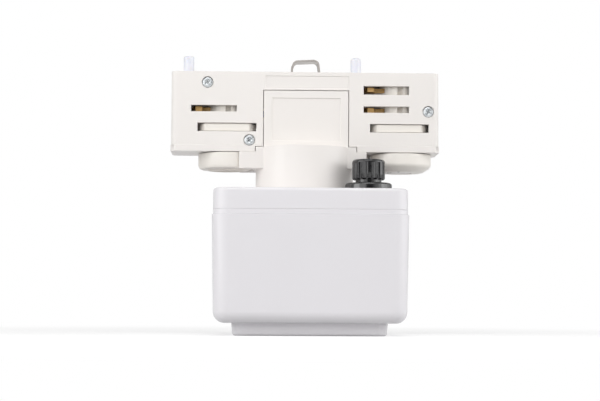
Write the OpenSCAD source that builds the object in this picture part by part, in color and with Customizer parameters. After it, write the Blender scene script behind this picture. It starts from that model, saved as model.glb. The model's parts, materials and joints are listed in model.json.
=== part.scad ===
// Track socket outlet: a three-phase lighting-track adapter that carries a fused box
// with an earthed two-pin socket. Millimetres, +Z up, the front face looks along -Y.
// The origin is on the socket face that the outlet stands on, under the neck's axis.

/* [Adapter] */
// Length of the adapter over its skirt
body_l = 105.6; // [104:0.1:107]
// Thickness of the adapter's shells
body_t = 19; // [18.6:0.1:19.4]
// Height of the adapter's underside
body_z = 71.5; // [71.2:0.1:71.6]
// Height of the shells from underside to top
body_h = 31.5; // [31.4:0.1:31.8]
// Wall thickness of the shells
shell_wall = 1.6; // [1.4:0.1:1.8]
// Radius of the shells' upright edges
end_r = 2.6; // [1.5:0.1:3.2]
// Height of the slightly proud band around the underside
skirt_h = 2.5; // [1.5:0.1:3]
// How far that band stands proud
skirt_proud = 0.2; // [0.1:0.05:0.3]

/* [Hub and neck] */
// Offset of the hub's plate and shoulders from the neck's axis
hub_x = 0.3; // [0:0.1:0.4]
// Half width of the hub's plate
plate_half = 16.6; // [16.2:0.05:16.8]
// Height of the plate's top edge
plate_top = 95.6; // [95:0.1:95.8]
// Half width of the hub's shoulders
shoulder_half = 19.7; // [19.4:0.1:20]
// Half depth of the shoulders and wings
wing_half = 10.3; // [9.6:0.1:10.3]
// Radius of the round neck
neck_r = 19.3; // [19:0.1:19.5]
// Gap between the hub and the shells
hub_gap = 0.25; // [0.1:0.05:0.25]
// Height of the wings' underside
wing_z = 64.9; // [64.6:0.1:66]

/* [Levers and contacts] */
// Place of the locking lever's axis along the adapter
lock_x = -30.7; // [-31:0.1:-30.4]
// Place of the phase lever's axis along the adapter
phase_x = 37; // [36.8:0.1:37.4]
// Radius of the lever knobs
knob_r = 10.3; // [10:0.1:10.5]
// Radius of the lever shafts
shaft_r = 4.9; // [4.6:0.1:5]
// Half length of the locking lugs
lug_half = 11.4; // [11:0.1:11.4]
// Reach of the contact blades from their axis
blade_reach = 14.2; // [13.8:0.1:14.2]

/* [Socket box] */
// Offset of the box from the neck's axis, which makes room for the fuse holder
box_x = 1.5; // [0:0.1:1.8]
// Width and depth of the box at its parting line
box_w = 74.2; // [73:0.1:74.5]
// Height of the box's underside
box_z = 4.8; // [4.6:0.1:5.4]
// Height of the parting line
part_z = 45.5; // [45:0.1:46]
// Height of the box's top
box_top = 55.4; // [55.2:0.1:55.6]
// Radius of the box's upright edges
box_r = 6; // [5:0.1:7]
// Radius of the edges around its underside
base_r = 4.4; // [4:0.1:6]

/* [Socket] */
// Width of the square socket frame
frame_w = 59.2; // [58:0.1:59.6]
// Radius of the plug well
well_r = 19.7; // [19.5:0.1:19.9]
// Depth of the plug well
well_depth = 17.5; // [17:0.1:18]
// Distance of each pin sleeve from the centre
pin_x = 9.5; // [9.4:0.05:9.6]
// Inner radius of the pin sleeves, for round pins of 4.8 mm
pin_bore_r = 2.45; // [2.42:0.01:2.48]

/* [Fuse holder] */
// Place of the fuse holder across the box
fuse_x = 24.3; // [24:0.1:24.6]
// Place of the fuse holder towards the front
fuse_y = -17; // [-17.4:0.1:-16.8]
// Radius of its flange
flange_r = 9.05; // [8.8:0.05:9.1]
// Radius of its ribbed cap
cap_r = 6.35; // [6.2:0.05:6.5]

/* [Hidden] */
$fn = 48;

// Colours, as the object shows them
shell_white = [0.93, 0.92, 0.89];
knob_cream = [0.93, 0.90, 0.84];
box_white = [0.93, 0.93, 0.95];
pin_white = [0.90, 0.91, 0.95];
black_plastic = [0.05, 0.05, 0.06];
brass = [0.72, 0.55, 0.25];
zinc = [0.72, 0.74, 0.75];

// Heights and faces that follow from the driving sizes
eps = 0.01;
face = body_t / 2;
body_top = body_z + body_h;
inner_face = face - shell_wall;
cavity_z0 = body_z + shell_wall;
cavity_z1 = body_top - shell_wall;
bay_half = plate_half + hub_gap;
bay_top = plate_top + hub_gap;
bay_wall = 1.6;
shoulder_z = 73.35;
shoulder_wall = 1.6;
// Front ends of the wings, and how far the right one reaches round its knob
wing_start = -25.9;
wing_end = 24;
wing_back_end = 30;
wing_back_y = 2;
wing_gap = 0.1;
// Rib around the plate that centres it in the shells
seat_rib_half = 4;
seat_rib = 0.2;
lead_window_y = [-4.2, 3];
lead_window_z = [84.4, 90.2];
tongue_half = 3;
tongue_z = [91.3, 94.2];
tongue_gap = 0.1;
tongue_reach = 0.75;

// Shallow blank fields on the front, as ranges along X and up
field_x = [-15.6, 17];
field_z = [96.5, 101.4];
field_sink = 0.3;
panel_x = [-13.1, 13.8];
panel_z = [75.8, 92.7];
panel_sink = 0.4;

// Lever parts, from the knob up
knob_gap = 0.3;
knob_top = body_z - knob_gap;
lock_knob_z = 64.8;
phase_knob_z = 64.2;
lock_tab = 1.1;
lock_tab_r = 4.5;
phase_tab = 3;
knob_clear = 0.4;
knob_rounding = [[1.8, 0], [0.53, 0.53], [0, 1.8]];
hollow_inset = 2.6;
hollow_depth = 0.5;
finger_bar_half = 1.3;
bevel_h = 2.2;
bevel_inset = 3.4;
lug_z0 = 79.6;
lug_z1 = 82.5;
lug_width = 17.6;
lug_corner = 0.6;
lug_r = 12.3;
lug_slot = [79.4, 82.7];
lug_slot_half = lug_half + 0.15;
carrier_r = 7.6;
lower_slot = [87.15, 89.65];
upper_slot = [94.3, 97.7];
lower_blade = [87.4, 89.5];
upper_blade = [95.7, 97.55];
lower_carrier = [86.4, 90.2];
upper_carrier = [94.1, 98.1];
blade_half = 3.6;
blade_back = 2.6;
// Wide tip of a blade: where it starts, and its reach to the front
blade_tip = 9.8;
blade_front = 6.8;
// A carrier's open side starts at this distance from its axis
carrier_open = 5.4;
arm_z = 95.2;
arm_reach = 13.4;
arm_half = 3.4;
groove_x = [-0.6, 1.4];
groove_depth = 1.5;
slot_front = 0.1;
slot_back = 3.8;
bearing_gap = 0.06;
bearing_r = 5.6;
bearing_z = 98.7;
shaft_top = 98.4;
tip_r = 3;
tip_top = 100.6;
riser_r0 = 5;
riser_r1 = 6;
riser_half = 2.2;
lower_riser_top = 91.9;
upper_riser_bottom = 92.3;
wiper_t = 0.5;
// Shape of a wiper leaf, as distance towards the hub and lift off the shell
wiper_shape = [[-5, 0], [-3, 0], [-1.5, 0.3], [0, 0.7], [1.5, 0.3], [3, 0], [7, 0]];
neutral_wiper_z = [90.6, 92.8];
lower_wiper_z = [90.4, 91.8];
upper_wiper_z = [92.5, 93.9];
spindle_r = 2;
spindle_top = 97;
dial_r = 5.4;
dial_h = 2.1;
dial_gap = 0.3;
dial_slot = [6.4, 1.1, 1.8];

// Screws that join the shells, as places on the front face
screw_places = [[-38.4, 98.7], [-21.9, 76], [48.4, 87.7]];
screw_head_r = 2.15;
screw_head_h = 1.1;
screw_sink = 0.15;
screw_shank_r = 1.2;
screw_end = 6.5;
screw_boss_r = 2.8;
recess_l = 2.6;
recess_w = 0.6;
recess_depth = 0.8;
fit_gap = 0.05;

// Coding pins and the earth spring on top
coding_r = 2.1;
coding_left_x = -46.2;
coding_right_x = 20.4;
coding_top = 110.2;
coding_foot = 98.2;
coding_boss_r = 3.5;
coding_tip_h = 0.7;
coding_tip_inset = 0.6;
strip_t = 0.75;
strip_half = 3.3;
loop_x = 0.25;
loop_top = 109;
loop_tilt = 0.3;
loop_base_half = 5.5;
loop_top_half = 3.3;
loop_r = 2;
foot_z = 98.3;
tab_x = -8;
tab_end = 90.6;
leg_slot_half = 0.8;
tab_slot_half = 0.5;
strip_gap = 0.1;

// Neck joint
nipple_r = 6.45;
nipple_hole_r = 4.6;
nipple_z0 = 48.6;
nipple_z1 = 62.6;
nut_h = 3;
nut_r = 9.8;
washer_r = 10.6;
washer_h = 0.8;
hub_floor = 58.4;
hub_wall = 2;

// Box
box_wall = 2.4;
cap_wall = 2.2;
draft = 0.6;
cap_inset = 0.4;
lip_h = 3;
lip_wall = 1.5;
lip_gap = 0.1;
groove_z = 47.3;
groove_half = 0.12;
groove_sink = 0.25;
layer = 0.01;
// Steps down from the cap's top and inset of each layer of its edge
cap_edge = [[1.2, 0.1], [0.5, 0.35], [0.01, 1.2]];
// Height and inset of the slope around the floor inside the body
floor_slope = 1.8;
// Angles of the layers in the round edge of the box's base
base_angles = [0, 15, 30, 45, 60, 75, 90];

// Socket
frame_r = 4.5;
frame_edge = 1.1;
frame_corner = frame_w / 2 - frame_r;
well_wall = 2.7;
floor_t = 2.2;
well_top = well_depth + floor_t;
base_outer_r = 21.6;
base_z = well_top + 0.1;
base_top = 31;
sleeve_r = 3.6;
sleeve_z0 = 20;
sleeve_top = 35.8;
corner_screw = 23.5;
clip_half = 2.5;
clip_t = 0.8;
clip_x = 18.8;
clip_slot_half = 0.8;
clip_gap = 0.3;
rib_x = 19.2;
rib_size = [3, 5, 15.6];
rib_middle = 9.7;
pin_hole_r = 3;
centre_head_r = 2.7;
centre_shank_r = 1.45;
centre_slot = [6, 0.8, 1.2];
corner_head_r = 2.7;
corner_shank_r = 1.25;
corner_post_r = 3;
corner_post_top = 13;
corner_end = 11;
corner_cross = [3.2, 0.7, 1.6];
collar_r = 4.5;
collar_h = 1;
tag_x = 14.6;
tag_size = [6, 3, 1];
split_size = [0.5, 3, 10];

// Fuse holder
holder_r = 6.2;
holder_bore_r = 4.3;
holder_z0 = 22;
holder_bore_z = 29.5;
flange_top = 58.6;
cap_z0 = 59.85;
cap_z1 = 67.7;
carrier_tube_r = 3.95;
fuse_r = 2.6;
fuse_z0 = 32;
fuse_l = 20;
end_cap_l = 5.5;
flange_edge = 0.5;
terminal_hole_r = 1.05;
terminal_r = 3.9;
terminal_end = 19.4;
holder_nut_h = 3.4;
holder_nut_r = 9.2;
cap_neck_r = 5;
cap_edge_h = 0.9;
cap_ribs = 16;
rib_groove_r = 0.62;
cap_slot = [8.4, 1.4, 2];
// Side contact of the holder: its height, half width and half thickness,
// and the direction from the holder to the neck's axis
side_tag_z = 44;
side_tag_half = 1.3;
side_tag_t = 0.5;
side_tag_turn = atan2(-fuse_y, -fuse_x);

// Routes of the inner wires, chosen by hand
wire_r = 1.2;
wire_sides = 8;
wire_steps = 3;
earth_route = [
    [-6.4, 0, 91.2], [-6.4, 0, 86], [-2, 1.6, 76], [0, 2.1, 66], [0, 2.1, 56], [0, 2.1, 46],
    [0.5, 4, 40], [1.5, 7, 36.5], [1.5, 7, 33.3]
];
neutral_route = [
    [-22.3, -6.3, 91.8], [-20.6, -3, 89], [-16.5, -1.5, 87.3], [-10, -1.2, 84], [-4, -1.1, 76],
    [-1.85, -1.05, 66], [-1.85, -1.05, 56], [-1.85, -1.05, 46], [-9, -1, 41],
    [-14.3, 0, 37], [-14.3, 0, 33.4]
];
live_upper_route = [
    [28.9, -6.3, 92], [24, -4, 92], [20.5, -2.5, 89.5], [16.5, -1.5, 87.3], [10, -1.2, 84],
    [4, -1.1, 76], [1.85, -1.05, 66], [1.85, -1.05, 56], [1.85, -1.05, 46], [7, -5, 42.5],
    [14.8, -10.4, 43.4], [15.6, -10.9, 44]
];
live_lower_route = [
    [24.3, -17, 18], [25.4, -15.4, 15.6], [29.5, -9, 16], [29.5, -6, 22], [29.5, -5, 32],
    [27, -4, 38], [21, -2, 39.5], [17.3, 0, 37], [17.3, 0, 33.4]
];

// A box between two opposite corners
module block(low, high) {
    translate(low)
        cube(high - low);
}

// A rectangle with round corners, centred
module rounded_rect(width, depth, radius) {
    square([width - 2 * radius, depth], center = true);
    square([width, depth - 2 * radius], center = true);
    for (sx = [-1, 1], sy = [-1, 1])
        translate([sx * (width / 2 - radius), sy * (depth / 2 - radius)])
            circle(r = radius);
}

// A slab with round upright edges, between two heights
module slab(width, depth, radius, z0, z1) {
    translate([0, 0, z0])
        linear_extrude(z1 - z0)
            rounded_rect(width, depth, radius);
}

// A cylinder between two heights at a place in plan
module post(x, y, radius, z0, z1) {
    translate([x, y, z0])
        cylinder(h = z1 - z0, r = radius);
}

// A cylinder along Y at a place on the front face
module cross_bore(place, radius, y0, y1) {
    translate([place[0], y1, place[1]])
        rotate([90, 0, 0])
            cylinder(h = y1 - y0, r = radius);
}

// A thin layer of a shape with round corners, for blending between heights
module blend_layer(width, radius, z, inset) {
    translate([0, 0, z])
        linear_extrude(layer)
            rounded_rect(width - 2 * inset, width - 2 * inset, max(radius - inset, 0.4), $fn = 48);
}

// Points of an arc in a plane
function arc(cx, cy, r, a0, a1, n = 6) =
    [for (i = [0 : n]) [cx + r * cos(a0 + (a1 - a0) * i / n), cy + r * sin(a0 + (a1 - a0) * i / n)]];

// Outline of a bent strip of even thickness along a path in a plane
function unit(v) = v / norm(v);
function path_dir(p, i) = unit(p[min(i + 1, len(p) - 1)] - p[max(i - 1, 0)]);
function path_side(p, i, d) = let (t = path_dir(p, i)) [p[i][0] - t[1] * d, p[i][1] + t[0] * d];
function strip_outline(p, t) = concat(
    [for (i = [0 : len(p) - 1]) path_side(p, i, t / 2)],
    [for (i = [len(p) - 1 : -1 : 0]) path_side(p, i, -t / 2)]
);

// Smooth curve through the points of a route
function spline(a, b, c, d, t) =
    0.5 * (2 * b + (c - a) * t + (2 * a - 5 * b + 4 * c - d) * t * t + (3 * b - a - 3 * c + d) * t * t * t);
function smooth(p, n) = concat(
    [for (i = [0 : len(p) - 2], k = [0 : n - 1])
        spline(p[max(i - 1, 0)], p[i], p[i + 1], p[min(i + 2, len(p) - 1)], k / n)],
    [p[len(p) - 1]]
);

// A round wire swept along a route
module wire(route) {
    p = smooth(route, wire_steps);
    last = len(p) - 1;
    // A side direction that no route runs along
    side = [0.2, 0.97, 0.13];
    rings = [for (i = [0 : last])
        let (t = path_dir(p, i))
        let (u = unit(cross(t, side)))
        let (v = cross(t, u))
        [for (k = [0 : wire_sides - 1])
            let (a = 360 * k / wire_sides)
            p[i] + wire_r * (cos(a) * u + sin(a) * v)]];
    points = [for (ring = rings) for (q = ring) q];
    walls = [for (i = [0 : last - 1], k = [0 : wire_sides - 1])
        let (n = (k + 1) % wire_sides)
        [i * wire_sides + k, i * wire_sides + n, (i + 1) * wire_sides + n, (i + 1) * wire_sides + k]];
    start = [for (k = [wire_sides - 1 : -1 : 0]) k];
    end = [for (k = [0 : wire_sides - 1]) last * wire_sides + k];
    polyhedron(points = points, faces = concat([start], [end], walls));
}

// Both shells before they are parted along the middle
module shell_walls() {
    difference() {
        union() {
            slab(body_l - 2 * skirt_proud, body_t, end_r, body_z, body_top);
            slab(body_l, body_t + 2 * skirt_proud, end_r, body_z, body_z + skirt_h);
        }
        slab(body_l - 2 * skirt_proud - 2 * shell_wall, 2 * inner_face, 1, cavity_z0, cavity_z1);
    }
    // Frame around the hub's bay
    translate([hub_x, 0, 0]) {
        block([-bay_half - bay_wall, -inner_face - eps, shoulder_z],
            [bay_half + bay_wall, inner_face + eps, bay_top + bay_wall]);
        block([-shoulder_half - shoulder_wall, -inner_face - eps, cavity_z0 - eps],
            [shoulder_half + shoulder_wall, inner_face + eps, shoulder_z + shoulder_wall]);
    }
    // Upper bearings of the levers
    for (x = [lock_x, phase_x])
        post(x, 0, bearing_r, bearing_z, cavity_z1 + eps);
    // Bosses of the coding pins
    for (x = [coding_left_x, coding_right_x])
        post(x, 0, coding_boss_r, coding_foot, cavity_z1 + eps);
    // Bosses of the screws
    for (place = screw_places)
        cross_bore(place, screw_boss_r, -inner_face - eps, inner_face + eps);
}

// Everything cut out of both shells
module shell_cuts() {
    translate([hub_x, 0, 0]) {
        block([-bay_half, -body_t, body_z - 1], [bay_half, body_t, bay_top]);
        block([-shoulder_half - hub_gap, -body_t, body_z - 1],
            [shoulder_half + hub_gap, body_t, shoulder_z + hub_gap]);
    }
    for (x = [lock_x, phase_x]) {
        post(x, 0, shaft_r + bearing_gap, body_z - 1, cavity_z0 + 0.5);
        post(x, 0, tip_r + bearing_gap, bearing_z - 1, tip_top + 0.1);
        block([x - lug_slot_half, -body_t, lug_slot[0]], [x + lug_slot_half, body_t, lug_slot[1]]);
    }
    for (x = [coding_left_x, coding_right_x])
        post(x, 0, coding_r + fit_gap, coding_foot - 1, body_top + 1);
    // Slots for the earth spring's legs and tab
    for (side = [-1, 1])
        block([loop_x + side * loop_base_half - leg_slot_half, -strip_half - strip_gap, cavity_z1 - 1],
            [loop_x + side * loop_base_half + leg_slot_half, strip_half + strip_gap, body_top + 1]);
    block([tab_x - tab_slot_half, -strip_half - strip_gap, bay_top - 1],
        [tab_x + tab_slot_half, strip_half + strip_gap, bay_top + 3]);
    // Windows for the wires and for the hub's tongues
    for (side = [-1, 1])
        translate([hub_x + side * (bay_half + bay_wall / 2), 0, 0]) {
            block([-bay_wall, lead_window_y[0], lead_window_z[0]],
                [bay_wall, lead_window_y[1], lead_window_z[1]]);
            block([-bay_wall, -tongue_half - tongue_gap, tongue_z[0] - tongue_gap],
                [bay_wall, tongue_half + tongue_gap, tongue_z[1] + tongue_gap]);
        }
}

// Slot that a blade swings out of
module contact_slot(x, slot) {
    block([x - blade_reach + slot_front, -body_t, slot[0]], [x + slot_back, -inner_face + 1, slot[1]]);
}

module front_shell() {
    color(shell_white)
        difference() {
            intersection() {
                shell_walls();
                block([-body_l, -body_t, body_z - 5], [body_l, 0, body_top + 5]);
            }
            shell_cuts();
            // Contact slots, on the front only
            contact_slot(lock_x, lower_slot);
            contact_slot(phase_x, lower_slot);
            contact_slot(phase_x, upper_slot);
            // Screw holes with round seats for the heads
            for (place = screw_places) {
                cross_bore(place, screw_shank_r + 0.1, -body_t, 1);
                cross_bore(place, screw_head_r + 0.12, -body_t, -face + screw_head_h + screw_sink);
            }
            // Shallow blank field above the hub
            block([field_x[0], -body_t, field_z[0]], [field_x[1], -face + field_sink, field_z[1]]);
        }
}

module rear_shell() {
    color(shell_white)
        difference() {
            intersection() {
                shell_walls();
                block([-body_l, 0, body_z - 5], [body_l, body_t, body_top + 5]);
            }
            shell_cuts();
            for (place = screw_places)
                cross_bore(place, screw_shank_r, -1, screw_end + 0.5);
        }
}

// Space that a knob needs beside a wing, also when its tab is turned to the rear
module knob_room(x, tab) {
    hull()
        for (y = [0, tab])
            post(x, y, knob_r + knob_clear, wing_z - 1, body_z + 0.5);
}

// Plate, shoulders, wings and round neck, moulded as one piece
module hub() {
    color(shell_white)
        difference() {
            union() {
                translate([hub_x, 0, 0]) {
                    block([-plate_half, -face, body_z - 1], [plate_half, face, plate_top]);
                    block([-shoulder_half, -wing_half, wing_z], [shoulder_half, wing_half, shoulder_z]);
                    block([-plate_half - seat_rib, -seat_rib_half, body_z - 1],
                        [plate_half + seat_rib, seat_rib_half, plate_top + seat_rib]);
                }
                block([wing_start, -wing_half, wing_z], [wing_end, wing_half, body_z - wing_gap]);
                block([0, wing_back_y, wing_z], [wing_back_end, wing_half, body_z - wing_gap]);
                post(0, 0, neck_r, box_top, shoulder_z);
                for (side = [-1, 1])
                    translate([hub_x + side * (plate_half + tongue_reach - tongue_gap), 0, 0])
                        block([-tongue_reach, -tongue_half, tongue_z[0]],
                            [tongue_reach, tongue_half, tongue_z[1]]);
            }
            knob_room(lock_x, 0);
            knob_room(phase_x, phase_tab);
            // Hollow plate and neck
            post(0, 0, neck_r - hub_wall, hub_floor, shoulder_z - hub_wall);
            translate([hub_x, 0, 0])
                block([-plate_half + hub_wall, -face + hub_wall, hub_floor],
                    [plate_half - hub_wall, face - hub_wall, plate_top - hub_wall]);
            post(0, 0, nipple_r + fit_gap, box_top - 1, hub_floor + 1);
            // Windows for the wires, and the slot of the earth spring's tab
            block([-plate_half - 1, lead_window_y[0], lead_window_z[0]],
                [plate_half + 2, lead_window_y[1], lead_window_z[1]]);
            block([tab_x - tab_slot_half, -strip_half - strip_gap, plate_top - 3],
                [tab_x + tab_slot_half, strip_half + strip_gap, plate_top + 1]);
            // Shallow blank panel on the plate's front
            block([panel_x[0], -face - 1, panel_z[0]], [panel_x[1], -face + panel_sink, panel_z[1]]);
        }
}

module housing_screws() {
    color(zinc)
        for (place = screw_places)
            difference() {
                union() {
                    cross_bore(place, screw_head_r, -face + screw_sink, -face + screw_sink + screw_head_h);
                    cross_bore(place, screw_shank_r, -face + screw_head_h, screw_end);
                }
                // Cross recess
                translate([place[0], -face, place[1]])
                    rotate([0, 45, 0]) {
                        cube([recess_l, 2 * recess_depth, recess_w], center = true);
                        cube([recess_w, 2 * recess_depth, recess_l], center = true);
                    }
            }
}

module coding_pin(x) {
    color(pin_white) {
        post(x, 0, coding_r, coding_foot, coding_top - coding_tip_h);
        translate([x, 0, coding_top - coding_tip_h])
            cylinder(h = coding_tip_h, r1 = coding_r, r2 = coding_r - coding_tip_inset);
    }
}

module coding_pin_left() {
    coding_pin(coding_left_x);
}

module coding_pin_right() {
    coding_pin(coding_right_x);
}

// One bent strip: tab, left foot, loop and right foot
module earth_spring() {
    base_l = loop_x - loop_base_half;
    base_r2 = loop_x + loop_base_half;
    path = concat(
        [[tab_x, tab_end], [tab_x, foot_z - 0.8], [tab_x + 0.3, foot_z - 0.2], [tab_x + 1, foot_z]],
        [[base_l - 1, foot_z], [base_l - 0.3, foot_z + 0.3], [base_l, foot_z + 1]],
        [[base_l, body_top], [base_l + 0.1, loop_top - loop_r - 0.9]],
        arc(loop_x - loop_top_half + 0.2, loop_top - loop_tilt - loop_r - strip_t / 2, loop_r, 175, 90),
        arc(loop_x + loop_top_half - 0.2, loop_top - loop_r - strip_t / 2, loop_r, 90, 12),
        [[base_r2, body_top + 0.4], [base_r2, foot_z + 1], [base_r2 + 0.3, foot_z + 0.3]],
        [[base_r2 + 1, foot_z], [base_r2 + 4, foot_z]]
    );
    color(zinc)
        translate([0, strip_half, 0])
            rotate([90, 0, 0])
                linear_extrude(2 * strip_half)
                    polygon(strip_outline(path, strip_t));
}

// Shaft, lug and bearing tip that both levers share
module lever_shaft(x) {
    post(x, 0, shaft_r, knob_top - eps, shaft_top);
    post(x, 0, tip_r, shaft_top - eps, tip_top);
    intersection() {
        translate([x, 0, 0])
            slab(2 * lug_half, lug_width, lug_corner, lug_z0, lug_z1);
        post(x, 0, lug_r, lug_z0 - 1, lug_z1 + 1);
    }
}

// Seat that a blade is pressed into
module blade_seat(x, blade, riser) {
    block([x - blade_reach - 1, -blade_half, blade[0]], [x - blade_back, blade_half, blade[1]]);
    block([x - carrier_r - 1, -riser_half, riser[0]], [x - riser_r0, riser_half, riser[1]]);
}

// Slim groove down a carrier's front
module carrier_groove(x, carrier) {
    block([x + groove_x[0], -carrier_r - 1, carrier[0] - 1],
        [x + groove_x[1], -carrier_r + groove_depth, carrier[1] + 1]);
}

// Opening that shows the blade's root at a carrier's front
module carrier_front(x, blade) {
    block([x - carrier_r - 1, -carrier_r - 1, blade[0]], [x - carrier_open, blade_half, blade[1]]);
}

module locking_lever() {
    color(knob_cream)
        difference() {
            union() {
                // Disc with a blunt point on one side and a round lower edge
                hull()
                    for (step = knob_rounding) {
                        post(lock_x, 0, knob_r - step[0], lock_knob_z + step[1], knob_top);
                        post(lock_x - knob_r - lock_tab + lock_tab_r, 0, lock_tab_r - step[0],
                            lock_knob_z + step[1], knob_top);
                    }
                lever_shaft(lock_x);
                post(lock_x, 0, carrier_r, lower_carrier[0], lower_carrier[1]);
            }
            blade_seat(lock_x, lower_blade, [lower_blade[0], lower_riser_top]);
            carrier_groove(lock_x, lower_carrier);
            // Two hollows that leave a finger bar across the knob
            for (side = [-1, 1])
                intersection() {
                    post(lock_x, 0, knob_r - hollow_inset, lock_knob_z - 1, lock_knob_z + hollow_depth);
                    translate([lock_x, side * (finger_bar_half + knob_r), lock_knob_z])
                        cube([4 * knob_r, 2 * knob_r, 3 * hollow_depth], center = true);
                }
        }
}

module phase_lever() {
    color(knob_cream)
        difference() {
            union() {
                hull()
                    for (shift = [0, phase_tab])
                        translate([phase_x + shift, 0, phase_knob_z]) {
                            cylinder(h = bevel_h, r1 = knob_r - bevel_inset, r2 = knob_r);
                            cylinder(h = knob_top - phase_knob_z, r = knob_r - bevel_inset);
                            translate([0, 0, bevel_h])
                                cylinder(h = knob_top - phase_knob_z - bevel_h, r = knob_r);
                        }
                lever_shaft(phase_x);
                post(phase_x, 0, carrier_r, lower_carrier[0], lower_carrier[1]);
                post(phase_x, 0, carrier_r, upper_carrier[0], upper_carrier[1]);
                // Arm that backs the upper blade from below
                intersection() {
                    block([phase_x - arm_reach - 1, -arm_half, arm_z],
                        [phase_x, arm_half, upper_blade[0]]);
                    post(phase_x, 0, arm_reach, arm_z - 1, upper_blade[1]);
                }
            }
            blade_seat(phase_x, lower_blade, [lower_blade[0], lower_riser_top]);
            blade_seat(phase_x, upper_blade, [upper_riser_bottom, upper_blade[1]]);
            carrier_front(phase_x, lower_blade);
            carrier_front(phase_x, upper_blade);
            carrier_groove(phase_x, lower_carrier);
            carrier_groove(phase_x, upper_carrier);
            // Recess of the dial and bore of its spindle
            post(phase_x, 0, dial_r + dial_gap, phase_knob_z - 1, phase_knob_z + dial_h + 0.2);
            post(phase_x, 0, spindle_r + bearing_gap, phase_knob_z, spindle_top + dial_gap);
        }
}

// A contact blade with a wide tip, and a riser beside the shaft where the wiper touches it
module contact_blade(x, blade, riser) {
    color(brass) {
        intersection() {
            union() {
                block([x - blade_reach - 1, -blade_half, blade[0]], [x - blade_back, blade_half, blade[1]]);
                block([x - blade_reach - 1, -blade_front, blade[0]], [x - blade_tip, 0, blade[1]]);
            }
            post(x, 0, blade_reach, blade[0] - 1, blade[1] + 1);
        }
        block([x - riser_r1, -riser_half, riser[0]], [x - riser_r0, riser_half, riser[1]]);
    }
}

module neutral_contact() {
    contact_blade(lock_x, lower_blade, [lower_blade[0], lower_riser_top]);
}

module phase_contact_lower() {
    contact_blade(phase_x, lower_blade, [lower_blade[0], lower_riser_top]);
}

module phase_contact_upper() {
    contact_blade(phase_x, upper_blade, [upper_riser_bottom, upper_blade[1]]);
}

// A spring leaf on the front shell's inner face, with its tab towards the hub
module wiper(x, tab_side, heights) {
    path = [for (q = wiper_shape) [x + tab_side * q[0], -inner_face + wiper_t / 2 + q[1]]];
    color(brass)
        translate([0, 0, heights[0]])
            linear_extrude(heights[1] - heights[0])
                polygon(strip_outline(path, wiper_t));
}

module neutral_wiper() {
    wiper(lock_x, 1, neutral_wiper_z);
}

module phase_wiper_lower() {
    wiper(phase_x, -1, lower_wiper_z);
}

module phase_wiper_upper() {
    wiper(phase_x, -1, upper_wiper_z);
}

module phase_dial() {
    color(shell_white)
        difference() {
            union() {
                post(phase_x, 0, dial_r, phase_knob_z + 0.1, phase_knob_z + dial_h);
                post(phase_x, 0, spindle_r, phase_knob_z + dial_h - eps, spindle_top);
            }
            // Screwdriver slot
            translate([phase_x, 0, phase_knob_z])
                cube(dial_slot, center = true);
        }
}

module threaded_nipple() {
    color(zinc)
        difference() {
            post(0, 0, nipple_r, nipple_z0, nipple_z1);
            post(0, 0, nipple_hole_r, nipple_z0 - 1, nipple_z1 + 1);
        }
}

module nipple_nuts() {
    color(zinc)
        for (z = [hub_floor, box_top - cap_wall - washer_h - nut_h])
            difference() {
                translate([0, 0, z])
                    cylinder(h = nut_h, r = nut_r, $fn = 6);
                post(0, 0, nipple_r + fit_gap, z - 1, z + nut_h + 1);
            }
}

module nipple_washer() {
    z = box_top - cap_wall - washer_h;
    color(zinc)
        difference() {
            post(0, 0, washer_r, z, z + washer_h);
            post(0, 0, nipple_r + fit_gap, z - 1, z + washer_h + 1);
        }
}

module box_cap() {
    cap_w = box_w - 2 * cap_inset;
    lip_w = box_w - 2 * box_wall - 2 * lip_gap;
    line_w = cap_w - 2 * groove_sink;
    color(box_white)
        difference() {
            translate([box_x, 0, 0]) {
                difference() {
                    hull() {
                        blend_layer(cap_w, box_r, part_z, 0);
                        for (step = cap_edge)
                            blend_layer(cap_w, box_r, box_top - step[0], step[1]);
                    }
                    slab(cap_w - 2 * cap_wall, cap_w - 2 * cap_wall, box_r - cap_wall,
                        part_z - 1, box_top - cap_wall);
                }
                slab(lip_w, lip_w, box_r - box_wall, part_z - lip_h, part_z + 1.5);
            }
            translate([box_x, 0, 0])
                slab(lip_w - 2 * lip_wall, lip_w - 2 * lip_wall, 2, part_z - lip_h - 1, part_z + 2.5);
            // Fine line around the cap
            translate([box_x, 0, 0])
                difference() {
                    slab(cap_w + 2, cap_w + 2, box_r, groove_z - groove_half, groove_z + groove_half);
                    slab(line_w, line_w, box_r, groove_z - 1, groove_z + 1);
                }
            post(0, 0, nipple_r + fit_gap, part_z, box_top + 1);
            post(fuse_x, fuse_y, holder_r + 2 * fit_gap, part_z, box_top + 1);
        }
}

module box_body() {
    inner_w = box_w - 2 * box_wall;
    floor_w = inner_w - 2 * floor_slope;
    color(box_white)
        translate([box_x, 0, 0])
            difference() {
                hull() {
                    blend_layer(box_w, box_r, part_z - layer, 0);
                    for (a = base_angles)
                        blend_layer(box_w - 2 * draft, box_r,
                            box_z + base_r * (1 - sin(a)), base_r * (1 - cos(a)));
                }
                difference() {
                    hull() {
                        slab(inner_w, inner_w, box_r - box_wall,
                            box_z + box_wall + floor_slope, part_z + 1);
                        slab(floor_w, floor_w, box_r - box_wall - floor_slope,
                            box_z + box_wall, part_z);
                    }
                    for (sx = [-1, 1], sy = [-1, 1])
                        post(sx * corner_screw, sy * corner_screw, corner_post_r, box_z, corner_post_top);
                }
                post(0, 0, well_r + well_wall + 3 * fit_gap, box_z - 1, box_z + box_wall + 1);
                for (sx = [-1, 1], sy = [-1, 1])
                    post(sx * corner_screw, sy * corner_screw, corner_shank_r + fit_gap,
                        box_z - 1, corner_end + 1);
            }
}

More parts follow.
